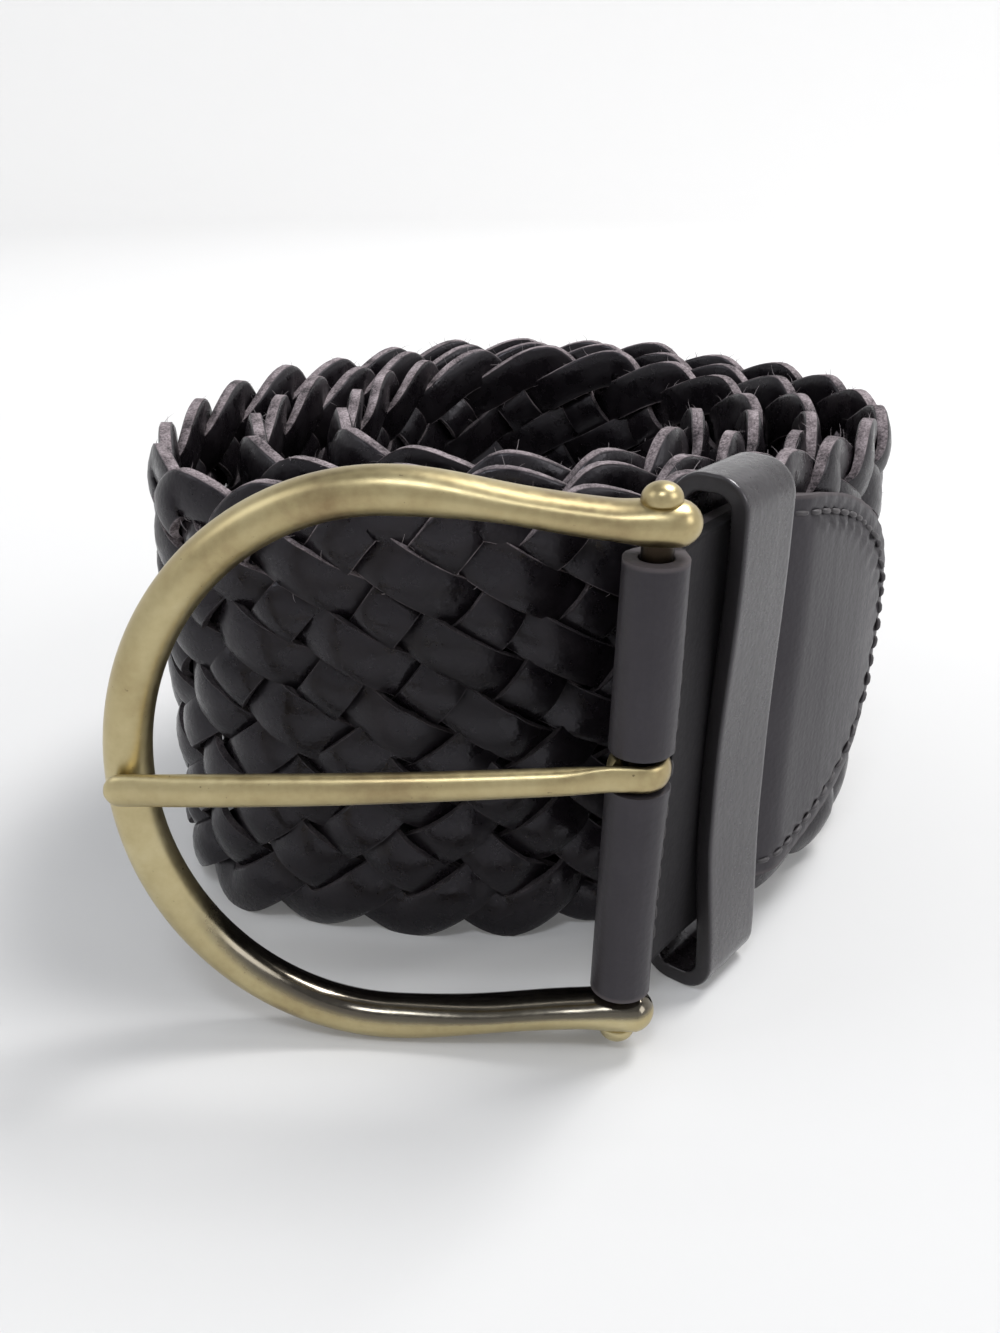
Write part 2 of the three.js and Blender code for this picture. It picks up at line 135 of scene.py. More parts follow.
def lead_in():
    """The first stretch, from the bar to the roll, as a cubic curve of Bezier's kind."""
    start, join = np.array([BAR_X, BAR_Y]), roll_point(0)
    reach = COIL_RADIUS * LEAD_REACH
    after_start = start + pointing(LEAVE_DEGREES) * reach
    before_join = join - pointing(ARRIVE_DEGREES) * reach
    t = np.linspace(0, 1, LEAD_POINTS, endpoint=False)[:, None]
    return ((1 - t) ** 3 * start + 3 * (1 - t) ** 2 * t * after_start
            + 3 * (1 - t) * t * t * before_join + t ** 3 * join)


turns = [roll_point(degrees) for degrees in range(0, ROLL_DEGREES + 1, ROLL_STEP)]
course = through(np.vstack([lead_in(), turns]), COURSE_STEP)
course_along = unit_rows(np.gradient(course, axis=0))
STRAP_END = COURSE_STEP * (len(course) - 1)
print(f"strap and end piece: {STRAP_END:.0f} mm from the bar to the free end")


# %% Places along the strap
def on_course(distance, out, z):
    """Points at distances along the strap, moved outwards across it, at heights z."""
    index = np.clip(np.asarray(distance) / COURSE_STEP, 0, len(course) - 1)
    steps = np.arange(len(course))
    x, y, tx, ty = (np.interp(index, steps, values) for values in
                    (course[:, 0], course[:, 1], course_along[:, 0], course_along[:, 1]))
    beyond = np.minimum(np.asarray(distance), 0)
    return np.stack([x + tx * beyond + ty * out, y + ty * beyond - tx * out,
                     z + np.zeros_like(x)], -1)


def smooth(value, low, high):
    """From 0 at low to 1 at high, flat at both ends; low may be the greater of the two."""
    t = np.clip((np.asarray(value, float) - low) / (high - low), 0, 1)
    return t * t * (3 - 2 * t)


def middle_height(distance):
    """The height of the strap's middle, lifted a little near the buckle."""
    return BRAID_WIDTH / 2 + (BAR_HEIGHT - BRAID_WIDTH / 2) * (1 - smooth(distance, 0, RISE_LENGTH))


print("strap lifted at the bar by", round(float(middle_height(0)) - BRAID_WIDTH / 2, 2), "mm")

# %% [markdown]
# Most pieces here are long strips or tubes, so one helper starts from Blender's grid primitive and
# lays its vertices out by a formula. A tube is a grid rolled up: its first and last row land on
# each other and are merged, and the open ends are filled. The grid brings a UV map along, which
# later tells the leather where it is along and round each strand. Sheets of leather get their
# thickness from Solidify, and a small bevel softens their cut edges.

# %% Helpers for meshes
MERGE_GAP = 1e-6
TUBE_SMOOTH_DEGREES, WALL_SMOOTH_DEGREES = 60, 45
CUT_EDGE_DEGREES = 50


def only(piece):
    bpy.ops.object.select_all(action="DESELECT")
    piece.select_set(True)
    bpy.context.view_layer.objects.active = piece


def grid(name, columns, rows):
    """A flat grid primitive with the given number of squares each way."""
    bpy.ops.object.select_all(action="DESELECT")
    bpy.ops.mesh.primitive_grid_add(x_subdivisions=columns, y_subdivisions=rows, size=1)
    piece = bpy.context.active_object
    piece.name = name
    piece.data.name = name
    return piece


def laid_out(name, positions):
    """A grid with its vertices at an array of places, [column, row, xyz], in millimetres."""
    columns, rows = positions.shape[0] - 1, positions.shape[1] - 1
    piece = grid(name, columns, rows)
    flat = np.empty(len(piece.data.vertices) * 3)
    piece.data.vertices.foreach_get("co", flat)
    share = flat.reshape(-1, 3)[:, :2] + 0.5
    i = np.rint(share[:, 0] * columns).astype(int)
    j = np.rint(share[:, 1] * rows).astype(int)
    piece.data.vertices.foreach_set("co", ((positions[i, j] + SHIFT) * MM).ravel())
    piece.data.update()
    return piece


def merge(piece, gap=MERGE_GAP, fill=False, outwards=True):
    """Merge what meets; where asked, fill open ends and turn the faces outwards."""
    only(piece)
    bpy.ops.object.mode_set(mode="EDIT")
    bpy.ops.mesh.select_all(action="SELECT")
    bpy.ops.mesh.remove_doubles(threshold=gap)
    if fill:
        bpy.ops.mesh.fill_holes(sides=0)
        bpy.ops.mesh.select_all(action="SELECT")
    if outwards:
        bpy.ops.mesh.normals_make_consistent(inside=False)
    bpy.ops.object.mode_set(mode="OBJECT")


def close_up(piece):
    """Close a rolled-up grid and shade it smooth."""
    merge(piece, fill=True)
    bpy.ops.object.shade_smooth_by_angle(angle=math.radians(TUBE_SMOOTH_DEGREES))
    return piece


def tube(name, positions):
    return close_up(laid_out(name, positions))


def delete_faces(piece, chosen):
    """Delete the faces that chosen picks. It looks at all of them before edit mode is entered."""
    picked = [bool(chosen(polygon)) for polygon in piece.data.polygons]
    only(piece)
    bpy.ops.object.mode_set(mode="EDIT")
    bpy.ops.mesh.select_mode(type="FACE")
    bpy.ops.mesh.select_all(action="DESELECT")
    bpy.ops.object.mode_set(mode="OBJECT")
    piece.data.polygons.foreach_set("select", picked)
    bpy.ops.object.mode_set(mode="EDIT")
    bpy.ops.mesh.delete(type="FACE")
    bpy.ops.object.mode_set(mode="OBJECT")


def joined(name, pieces):
    bpy.ops.object.select_all(action="DESELECT")
    for piece in pieces:
        piece.select_set(True)
    bpy.context.view_layer.objects.active = pieces[0]
    bpy.ops.object.join()
    pieces[0].name = name
    pieces[0].data.name = name
    return pieces[0]


def modified(piece, kind, **settings):
    """Add a modifier with its settings and apply it."""
    only(piece)
    modifier = piece.modifiers.new(kind.title(), kind)
    for key, value in settings.items():
        setattr(modifier, key, value)
    bpy.ops.object.modifier_apply(modifier=modifier.name)


def leather_wall(piece, thickness, edge, segments):
    """Give a sheet of leather its thickness and soften its cut edges."""
    modified(piece, "SOLIDIFY", thickness=thickness * MM, offset=0)
    modified(piece, "BEVEL", width=edge * MM, segments=segments, limit_method="ANGLE",
             angle_limit=math.radians(CUT_EDGE_DEGREES))
    bpy.ops.object.shade_smooth_by_angle(angle=math.radians(WALL_SMOOTH_DEGREES))
    return piece


def full_turn(sides):
    return np.linspace(0, 2 * np.pi, sides + 1)


# %% [markdown]
# A flat plait of twelve strands: every strand runs slantwise down to the lower edge, turns, and
# runs back up. Where two strands cross, one lies in front, and along each strand front and back
# take turns. The crossings lie in eleven level rows. In the upper half of this belt the falling
# strands lie flatter and the rising ones steeper, so the falling ones show as long tiles and the
# rising ones as small squares. At an edge a strand turns in its own plane, from front to back, and
# shows its pale cut edge from above. All of that is a formula for one strand, used twelve times.

# %% The path of one strand
STRANDS = 12
ROW_PITCH = 5.65
ROW_TOP = 68.75
ROW_FOOT = ROW_TOP - ROW_PITCH * STRANDS
EDGE_TURN = 0.46
EVEN_STEP = EDGE_PITCH / 2
FALL_STEP, RISE_STEP = 10.1, 4.2
WEAVE_DEPTH = 1.2
SWING_FLATNESS = 1.05


def run_length(rows, upper_step):
    """How far along the strap a run has come after a number of rows from the top edge."""
    half = STRANDS / 2
    return np.where(rows < half, upper_step * rows, upper_step * half + EVEN_STEP * (rows - half))


def strand_path(p):
    """Along-strap place, height and depth of a strand, p counting rows from its last top turn."""
    cycle = np.floor(p / (2 * STRANDS))
    q = p - cycle * 2 * STRANDS
    falling = q < STRANDS
    rows = np.where(falling, q, 2 * STRANDS - q)
    full = run_length(STRANDS, FALL_STEP) + run_length(STRANDS, RISE_STEP)
    along = np.where(falling, run_length(rows, FALL_STEP), full - run_length(rows, RISE_STEP))
    from_edge = np.minimum(rows, STRANDS - rows)
    eased = np.sqrt(from_edge ** 2 + EDGE_TURN ** 2)
    height = np.where(rows < STRANDS / 2, eased, STRANDS - eased)
    flat_swing = np.tanh(SWING_FLATNESS * np.cos(np.pi * rows)) / np.tanh(SWING_FLATNESS)
    signed = np.where(falling, 1.0, -1.0)
    depth = signed * flat_swing
    depth = np.where(rows < 1, -np.sin(np.pi / 2 * signed * rows), depth)
    depth = np.where(rows > STRANDS - 1, -np.sin(np.pi / 2 * signed * (STRANDS - rows)), depth)
    return cycle * full + along, ROW_TOP - ROW_PITCH * height, WEAVE_DEPTH * depth


# %% [markdown]
# A strand is a tube with a low domed section: its points are shares of half the width across and
# half the thickness outwards, once round. Hand-cut strands are never quite even, so their height,
# depth, width and tilt wander slowly; each wander has a reach and a number of samples between its
# random knots. Near both edges, where it turns, a strand swells.

# %% The twelve strands
STRAND_HALF, STRAND_THICK = 3.46, 0.92
TURN_SWELL, SWELL_ROWS = 0.42, (0.6, 1.6)
STRAND_SAMPLES, STRAND_CYCLES = 8, 8
TUCKED_IN, END_MARGIN = 3, 0.5
HEIGHT_WANDER, DEPTH_WANDER = (0.34, 9), (0.14, 11)
WIDTH_WANDER, TILT_WANDER = (0.04, 14), (0.085, 10)
SECTION = np.array([(-0.87, 0.7), (-0.48, 1.0), (0, 1.12), (0.48, 1.0), (0.87, 0.7), (1, 0.48),
                    (1, -0.72), (0.86, -0.95), (0.3, -1), (-0.3, -1), (-0.86, -0.95), (-1, -0.72),
                    (-1, 0.48), (-0.87, 0.7)])
rng = np.random.default_rng(12)


def drift(count, wander):
    """A slow random wander, one value for each sample."""
    reach, every = wander
    knots = rng.normal(0, reach, count // every + 3)
    return np.interp(np.arange(count), np.arange(len(knots)) * every, knots)


def braid_strand(number):
    p = np.arange(0, 2 * STRANDS * STRAND_CYCLES, 1 / STRAND_SAMPLES)
    along, height, depth = strand_path(p)
    along = along + number * EDGE_PITCH - 2 * STRANDS * EVEN_STEP + BRAID_START
    kept = (along > BRAID_START - TUCKED_IN) & (along < STRAP_END - END_MARGIN)
    along, height, depth = along[kept], height[kept], depth[kept]
    count = len(along)
    height = height + drift(count, HEIGHT_WANDER)
    depth = depth + drift(count, DEPTH_WANDER)
    half = STRAND_HALF * (1 + drift(count, WIDTH_WANDER))
    heading = np.stack([np.gradient(along), np.gradient(height)], -1)
    for _ in range(2):
        heading[1:-1] = (heading[:-2] + 2 * heading[1:-1] + heading[2:]) / 4
    heading = unit_rows(heading)
    tilt = drift(count, TILT_WANDER)
    across = half[:, None] * SECTION[:, 0]
    from_side = np.minimum(ROW_TOP - height, height - ROW_FOOT) / ROW_PITCH
    thick = STRAND_THICK * (1 + TURN_SWELL * (1 - smooth(from_side, *SWELL_ROWS)))
    out = thick[:, None] * SECTION[:, 1] + depth[:, None] + across * tilt[:, None]
    u = along[:, None] - heading[:, 1:2] * across
    v = height[:, None] + heading[:, 0:1] * across
    return tube(f"strand_{number}", on_course(u, out, v + (middle_height(u) - BRAID_WIDTH / 2)))


strands = [braid_strand(k) for k in range(STRANDS)]
print("strands:", len(strands), "faces in one:", len(strands[0].data.polygons))

# %% The strands gathered into four pieces
GATHERED = 3

braid = [joined(f"braid_{k}", strands[GATHERED * k:GATHERED * (k + 1)])
         for k in range(STRANDS // GATHERED)]
for piece in braid:
    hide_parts("braided_strap")
    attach(piece, "root")
print("braid faces:", sum(len(piece.data.polygons) for piece in braid))

# %% [markdown]
# Cut leather is never quite clean: short loose fibres stand off the raw edges, best seen along the
# top of the roll. One fibre is a bent three-sided spike of eleven faces, and fifteen hundred of
# them are strewn over the faces of the strands that look up or down near the top, each with its
# own length and bend. They are laid out in one grid, whose faces between two spikes are deleted.

# %% Loose fibres on the raw edges
FIBRES = 1500
FIBRE_LENGTH, FIBRE_RADIUS = 1.5, 0.06
FIBRE_LENGTHS, FIBRE_BEND, FIBRE_TAPER = (0.4, 1.4), 0.5, 0.75
FIBRE_SHARES, FIBRE_CORNERS = (0.0, 0.35, 0.7, 1.0), (0, 2.1, 4.2, 2 * math.pi)
FIBRE_LEAN, FIBRE_SCATTER, FIBRE_SUNK = 0.7, 0.3, 0.1
EDGE_FACING, EDGE_FACE_AREA, EDGE_LOWEST = 0.72, 1e-7, 52


def fibre(root, way, side):
    """The rings of a thin spike from a root point, bending to one side."""
    length = FIBRE_LENGTH * rng.uniform(*FIBRE_LENGTHS)
    rings = []
    third = np.cross(way, side)
    for share in FIBRE_SHARES:
        middle = root + way * length * share + side * length * FIBRE_BEND * share ** 2
        size = FIBRE_RADIUS * (1 - FIBRE_TAPER * share)
        rings.append([middle + size * (side * math.cos(a) + third * math.sin(a))
                      for a in FIBRE_CORNERS])
    return np.array(rings)


def raw_edge_spots():
    """Middles and normals of the strands' faces that look up or down near the top of the roll."""
    spots = []
    for piece in braid:
        for polygon in piece.data.polygons:
            level = abs(polygon.normal.z) > EDGE_FACING and polygon.area > EDGE_FACE_AREA
            if level and polygon.center.z / MM > EDGE_LOWEST:
                spots.append((np.array(polygon.center) / MM - SHIFT, np.array(polygon.normal)))
    return spots


def strewn_fibres():
    spots = raw_edge_spots()
    spikes = []
    for place in rng.choice(len(spots), FIBRES, replace=False):
        root, normal = spots[place]
        way = normal + rng.normal(0, FIBRE_LEAN, 3)
        way /= np.linalg.norm(way)
        side = np.cross(way, rng.normal(0, 1, 3))
        side /= np.linalg.norm(side)
        scatter = rng.normal(0, FIBRE_SCATTER, 3) * (1, 1, 0)
        spikes.append(fibre(root - normal * FIBRE_SUNK + scatter, way, side))
    return spikes


def spikes_as_one(name, spikes):
    """Lay many spikes out in one grid and delete the faces between one spike and the next."""
    rings = np.vstack(spikes)
    per_spike = len(spikes[0])
    piece = laid_out(name, rings)
    uv = piece.data.uv_layers.active.data

    def between_spikes(polygon):
        ring = np.mean([uv[k].uv.x for k in polygon.loop_indices]) * (len(rings) - 1)
        return int(ring) % per_spike == per_spike - 1

    delete_faces(piece, between_spikes)
    return close_up(piece)


fibres = spikes_as_one("loose_fibres", strewn_fibres())
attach(fibres, "root")
print("fibre faces:", len(fibres.data.polygons))

# %% [markdown]
# The smooth end piece is one sheet of leather, folded round the bar and sewn over the braid. It is
# modelled as the sheet seen from its edge: in along the front layer from its tip, round the bar,
# and back along the rear one. Towards the tip its rows lie closer, for a round outline. A slot in
# the fold lets the prong through. The seam pulls the leather in along its line and creases it.

# %% The end piece's sizes
TAB_WIDTH = 59.2
TAB_THICK = 1.7
TAB_LENGTH, TAB_INNER_LENGTH = 74, 68
TAB_ROUND = 45
TAB_EDGE = 0.35
PINCH_START, PINCH_END = 4.5, 31
BAR_RADIUS, BAR_CLEARANCE = 1.9, 0.3
BAR_LEAN = 1.7
FRAME_TURN = 4.5
SEAT_GAP, BEND_GAP = 0.3, 0.5
STITCH_INSET, STITCH_PITCH = 2.4, 3.1
PRONG_RISE = 2.8
SLOT_HALF, SLOT_REACH = 2.45, 6.2
GROOVE_DEPTH, GROOVE_HALF = 0.42, 0.75
CREASE_DEPTH, CREASE_REACH, CREASE_OFFSET = 0.34, 2.2, 0.4
CREASE_LOW_SHARE, CREASE_FULL_UP = 0.5, 18
RIM_FALL, RIM_FALL_REACH = 0.2, 1.0
PUCKER_FROM, PUCKER_FULL = 34, 39
LONG_WAVE, LONG_WAVE_STEP, LONG_WAVE_SLANT = 0.12, 6.5, 0.09
CROSS_WAVE, CROSS_WAVE_STEP, CROSS_WAVE_START = 0.1, 7, 0.6

TAB_COLUMNS, TAB_ROWS = 190, 96
OUTER_COLUMNS, FOLD_COLUMNS = 100, 24
TIP_CROWDING = 1.4
FOLD_MARGIN, OUTER_TIP_MARGIN, INNER_TIP_MARGIN = 0.4, 0.15, 0.3
TAB_MERGE_GAP = 2e-5
HAIR = 1e-6

buckle_side = pointing(180 - FRAME_TURN)
crowded = np.sin(np.linspace(0, np.pi / 2, OUTER_COLUMNS)) ** TIP_CROWDING
outer_stations = np.clip(TAB_LENGTH - (TAB_LENGTH - FOLD_MARGIN) * crowded,
                         0, TAB_LENGTH - OUTER_TIP_MARGIN)
fold_angles = np.linspace(0, np.pi, FOLD_COLUMNS + 2)[1:-1]
inner_stations = np.linspace(0, TAB_INNER_LENGTH - INNER_TIP_MARGIN,
                             TAB_COLUMNS + 1 - OUTER_COLUMNS - FOLD_COLUMNS)
across_share = np.linspace(-1, 1, TAB_ROWS + 1)
print("end piece columns:", len(outer_stations), len(fold_angles), len(inner_stations))


# %% The end piece
def layer_offset(distance):
    """How far a layer's middle lies from the plan curve."""
    fold = BAR_RADIUS + BAR_CLEARANCE + TAB_THICK / 2
    pinched = TAB_THICK / 2 + SEAT_GAP / 2
    opened = BRAID_THICK / 2 + BEND_GAP + TAB_THICK / 2
    closing = fold + (pinched - fold) * smooth(distance, 0, PINCH_START)
    return closing + (opened - pinched) * smooth(distance, PINCH_END, BRAID_START + 2)


def tab_half(distance, length):
    """Half the end piece's width at a distance, rounded off at its tip."""
    left = np.clip((length - np.asarray(distance, float)) / TAB_ROUND, 0, 1)
    return TAB_WIDTH / 2 * np.sqrt(np.maximum(1 - (1 - left) ** 2, 0))


def leaning(places, distance):
    """Lean the fold with the bar, less and less towards the braid."""
    fade = 1 - smooth(distance, 0, BRAID_START)
    up = places[..., 2] - BAR_HEIGHT
    shove = -up * math.tan(math.radians(BAR_LEAN)) * fade
    places[..., :2] += shove[..., None] * buckle_side
    return places


def edge_distance(distance, up, length):
    """How far a place on the end piece is from its rounded rim, and how far round it is."""
    straight = length - TAB_ROUND
    beyond = np.maximum(distance - straight, 0)
    share = np.sqrt((beyond / TAB_ROUND) ** 2 + (up / (TAB_WIDTH / 2)) ** 2)
    rim = (1 - share) * TAB_WIDTH / 2
    turn = np.arctan2(up, beyond + HAIR)
    round_place = np.where(distance > straight, turn * TAB_WIDTH / 2,
                           np.sign(up) * (np.pi / 2 * TAB_WIDTH / 2 + straight - distance))
    return rim, round_place


def pucker(distance, up, length):
    """A groove along the seam, creases across the rim and a slight wave over the whole layer."""
    rim, turn = edge_distance(distance, up, length)
    behind_keeper = smooth(distance, PUCKER_FROM, PUCKER_FULL)
    groove = np.exp(-((rim - STITCH_INSET) / GROOVE_HALF) ** 2)
    crease = (np.cos(2 * np.pi * turn / STITCH_PITCH)
              * np.exp(-((rim - STITCH_INSET - CREASE_OFFSET) / CREASE_REACH) ** 2))
    upper = CREASE_LOW_SHARE + (1 - CREASE_LOW_SHARE) * smooth(up, 0, CREASE_FULL_UP)
    pulled = (GROOVE_DEPTH * groove + CREASE_DEPTH * crease * upper
              + RIM_FALL * np.exp(-rim / RIM_FALL_REACH))
    wave = (LONG_WAVE * np.sin(distance / LONG_WAVE_STEP + LONG_WAVE_SLANT * up)
            + CROSS_WAVE * np.sin(up / CROSS_WAVE_STEP + CROSS_WAVE_START))
    return wave - behind_keeper * pulled


def tab_layer(stations, sign, length):
    """The front layer (sign 1, with its pucker) or the rear one (sign -1)."""
    up = tab_half(stations, length)[:, None] * across_share
    distance = stations[:, None] + np.zeros_like(up)
    offset = layer_offset(distance)
    if sign > 0:
        offset = offset + pucker(distance, up, length)
    places = on_course(distance, sign * offset, middle_height(distance) + up)
    return leaning(places, distance)


def tab_fold():
    start, along = np.array([BAR_X, BAR_Y]), course_along[0]
    out = np.array([along[1], -along[0]])
    up = across_share * TAB_WIDTH / 2
    rows = []
    for angle in fold_angles:
        spot = start + (out * math.cos(angle) - along * math.sin(angle)) * layer_offset(0.0)
        rows.append(np.column_stack([np.tile(spot, (len(up), 1)), BAR_HEIGHT + up]))
    return leaning(np.array(rows), np.zeros((len(rows), len(up))))


def in_slot(polygon):
    """Whether a face lies where the prong's loop passes through the fold."""
    away = np.array(polygon.center) / MM - SHIFT - (BAR_X, BAR_Y, BAR_HEIGHT + PRONG_RISE)
    return np.linalg.norm(away[:2]) < SLOT_REACH and abs(away[2]) < SLOT_HALF


def end_piece():
    piece = laid_out("end_piece", np.vstack([tab_layer(outer_stations, 1, TAB_LENGTH), tab_fold(),
                                             tab_layer(inner_stations, -1, TAB_INNER_LENGTH)]))
    delete_faces(piece, in_slot)
    merge(piece, TAB_MERGE_GAP, outwards=False)
    return leather_wall(piece, TAB_THICK, TAB_EDGE, 2)


tab = end_piece()
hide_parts("buckle_tab")
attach(tab, "root")
print("end piece faces:", len(tab.data.polygons))

# %% [markdown]
# The stitches are short lengths of waxed thread, one like the next. Each is a small tube of seven
# rings that dives into the leather at both ends, laid along the seam line from one mark to the
# next. The long seam follows the rim of the end piece, and a finer one crosses its neck.

# %% The stitches
THREAD_RADIUS = 0.4
STITCH_SHARES, STITCH_SIDES = (-1, -0.8, -0.4, 0, 0.4, 0.8, 1), 8
STITCH_LENGTH, STITCH_UNEVEN = 0.78, 0.008
STITCH_LIFT, STITCH_DIVE, STITCH_TAPER = 0.55, 1.1, 0.55
SEAM_START = 29
SEAM_FINENESS, SEAM_ARC_POINTS = 0.4, 260
NECK_DISTANCE, NECK_LOW, NECK_HIGH = 6.0, -26.0, 27.0


def stitch(centre, along, out, length, radius):
    """The rings of one stitch, a small tube that dives into the leather at both ends."""
    rings = []
    side = np.cross(along, out)
    for share in STITCH_SHARES:
        lift = radius * (STITCH_LIFT - STITCH_DIVE * share ** 4)
        size = radius * (1 - STITCH_TAPER * share ** 6)
        middle = centre + along * length / 2 * share + out * lift
        rings.append([middle + size * (side * math.cos(a) + out * math.sin(a))
                      for a in full_turn(STITCH_SIDES)])
    return np.array(rings)


def seam_places():
    """Marks along the rim of the outer layer: distance along and height, a stitch apart."""
    inset_half = TAB_WIDTH / 2 - STITCH_INSET
    inset_round = TAB_ROUND - STITCH_INSET
    straight = TAB_LENGTH - TAB_ROUND
    line = [(d, -inset_half) for d in np.arange(SEAM_START, straight, SEAM_FINENESS)]
    line += [(straight + inset_round * math.cos(a), inset_half * math.sin(a))
             for a in np.linspace(-np.pi / 2, np.pi / 2, SEAM_ARC_POINTS)]
    line += [(d, inset_half) for d in np.arange(straight, SEAM_START, -SEAM_FINENESS)]
    line = np.array(line)
    length = lengths_along(line)
    marks = np.arange(1, length[-1], STITCH_PITCH)
    return np.column_stack([np.interp(marks, length, column) for column in line.T])


def tab_surface(distance, up):
    distance, up = np.array([float(distance)]), np.array([float(up)])
    offset = layer_offset(distance) + TAB_THICK / 2 + pucker(distance, up, TAB_LENGTH)
    return leaning(on_course(distance, offset, middle_height(distance) + up), distance)[0]


def seam(marks, radius):
    pieces = []
    for n, (a, b) in enumerate(zip(marks, marks[1:])):
        start, end = tab_surface(*a), tab_surface(*b)
        along = (end - start) / np.linalg.norm(end - start)
        d = np.array([(a[0] + b[0]) / 2])
        out = (on_course(d, 1.0, 0) - on_course(d, 0.0, 0))[0]
        length = STITCH_PITCH * (STITCH_LENGTH + STITCH_UNEVEN * rng.normal())
        pieces.append(tube(f"stitch_{n}", stitch((start + end) / 2, along, out, length, radius)))
    return joined("seam_stitches", pieces)


neck_marks = [(NECK_DISTANCE, up) for up in np.arange(NECK_LOW, NECK_HIGH, STITCH_PITCH)]
seam_thread = joined("seam_stitches", [seam(seam_places(), THREAD_RADIUS),
                                       seam(neck_marks, THREAD_RADIUS / 2)])
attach(seam_thread, "root")
print("stitch faces:", len(seam_thread.data.polygons))

# %% [markdown]
# The keeper is a strip of thicker leather bent into a loop. Its outline is a rectangle with round
# corners; a strip grid laid along it and given its thickness makes the band, and a bevel makes the
# cut edges soft, as burnished leather is. Its front is pressed in a little below the middle.

# %% The keeper
KEEPER_HEIGHT, KEEPER_BAND, KEEPER_THICK = 74.8, 12.4, 2.4
KEEPER_PLACE, KEEPER_TURN = 21.6, 51
KEEPER_SKEW, KEEPER_ROOM, KEEPER_CORNER = 0.5, 1.7, 2.1
KEEPER_EDGE = 0.42
CORNER_POINTS, SIDE_POINTS, BAND_POINTS = 10, 26, 15
PRESS_BELOW, PRESS_ABOVE = (4, 26), (34, 66)
PRESS_SLANT, FRONT_BEYOND = 0.35, 2


def keeper_outline():
    """The middle line of the band: forward distance and height, once round."""
    bend = KEEPER_CORNER + KEEPER_THICK / 2
    tab_half_thick = TAB_THICK + SEAT_GAP / 2
    rear = -(tab_half_thick + SEAT_GAP + KEEPER_SKEW) + KEEPER_CORNER
    front = tab_half_thick + KEEPER_ROOM - KEEPER_CORNER
    low, high = KEEPER_CORNER + KEEPER_THICK, KEEPER_HEIGHT - KEEPER_CORNER - KEEPER_THICK
    line = []
    for corner, begin in (((front, low), -90), ((front, high), 0), ((rear, high), 90),
                          ((rear, low), 180)):
        for degrees in np.linspace(begin, begin + 90, CORNER_POINTS):
            line.append(tuple(corner + bend * pointing(degrees)))
        if begin in (-90, 90):
            sign = 1 if begin == -90 else -1
            heights = np.linspace(low, high, SIDE_POINTS)[1:-1][::sign]
            line += [(corner[0] + sign * bend, z) for z in heights]
    return np.array(line + line[:1])


def keeper():
    line = keeper_outline()
    shares = np.linspace(-1, 1, BAND_POINTS)
    band_way = pointing(KEEPER_TURN)
    forward = np.array([band_way[1], -band_way[0]])
    centre = on_course(np.array([float(KEEPER_PLACE)]), 0, 0)[0][:2]
    places = np.empty((len(line), len(shares), 3))
    for i, (ahead, z) in enumerate(line):
        press = float(smooth(z, *PRESS_BELOW) * (1 - smooth(z, *PRESS_ABOVE)))
        for j, share in enumerate(shares):
            give = -press * (1 - PRESS_SLANT * share) if ahead > FRONT_BEYOND else 0.0
            spot = centre + band_way * share * KEEPER_BAND / 2 + forward * (ahead + give)
            places[i, j] = (*spot, z)
    piece = laid_out("keeper", places)
    merge(piece)
    return leather_wall(piece, KEEPER_THICK, KEEPER_EDGE, 3)


keeper_band = keeper()
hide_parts("keeper_loop")
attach(keeper_band, "root")
print("keeper faces:", len(keeper_band.data.polygons))

# %% [markdown]
# The buckle is cast brass: a horseshoe of oval wire whose arms run down to the bar in a soft S. It
# is made as a tube of finer sections over the same line as the solid's, in the buckle's own axes:
# away from the bar, forwards and up. The whole buckle is then turned and leaned as it stands. A
# place on the wire is one number, from -1 at the eye over 0 at the shoulder to 1 at the far side,
# and the lower half mirrors the upper one.

# %% The buckle's frame
FRAME_HEIGHT, FRAME_REACH = 79, 66
WIRE_WIDTH, WIRE_DEPTH = 6, 6
ARM_SPREAD, SHOULDER, EYE_OVERHANG = 67.2, 30, 4.7
WIRE_ALONG = [-1, -0.82, -0.5, 0, 1]
WIRE_WIDTHS = [0.9, 0.76, 0.72, 0.95, 1]
WIRE_DEPTHS = [1.12, 1.1, 1.08, 1.05, 1]
EYE_ROUND, EYE_DEGREES = 3.0, (3, 10, 20, 32, 45, 60, 75)
ARM_POINTS, BOW_POINTS, BRASS_SIDES = 30, 44, 32
WIRE_LOOK = 0.01

wire_rise = (FRAME_HEIGHT - WIRE_WIDTH * WIRE_WIDTHS[3]) / 2
wire_reach = FRAME_REACH - WIRE_WIDTH / 2


def buckle_place(x, y, z):
    """From the buckle's own axes to the belt's, leaning in its own plane."""
    x, y, z = np.broadcast_arrays(np.asarray(x, float), y, z)
    x = x - z * math.tan(math.radians(BAR_LEAN))
    c, s = buckle_side
    return np.stack([BAR_X + c * x - s * y, BAR_Y + s * x + c * y, BAR_HEIGHT + z], -1)


def eased(value, stations, amounts):
    for a, b, low, high in zip(stations, stations[1:], amounts, amounts[1:]):
        if value <= b:
            return low + (high - low) * float(smooth(value, a, b))
    return amounts[-1]


def wire_middle(along):
    if along < 0:
        drop = (wire_rise - ARM_SPREAD / 2) * float(smooth(-along, 0, 1))
        return np.array([SHOULDER * (1 + along), wire_rise - drop])
    angle = math.pi / 2 * along
    return np.array([SHOULDER + (wire_reach - SHOULDER) * math.sin(angle),
                     wire_rise * math.cos(angle)])


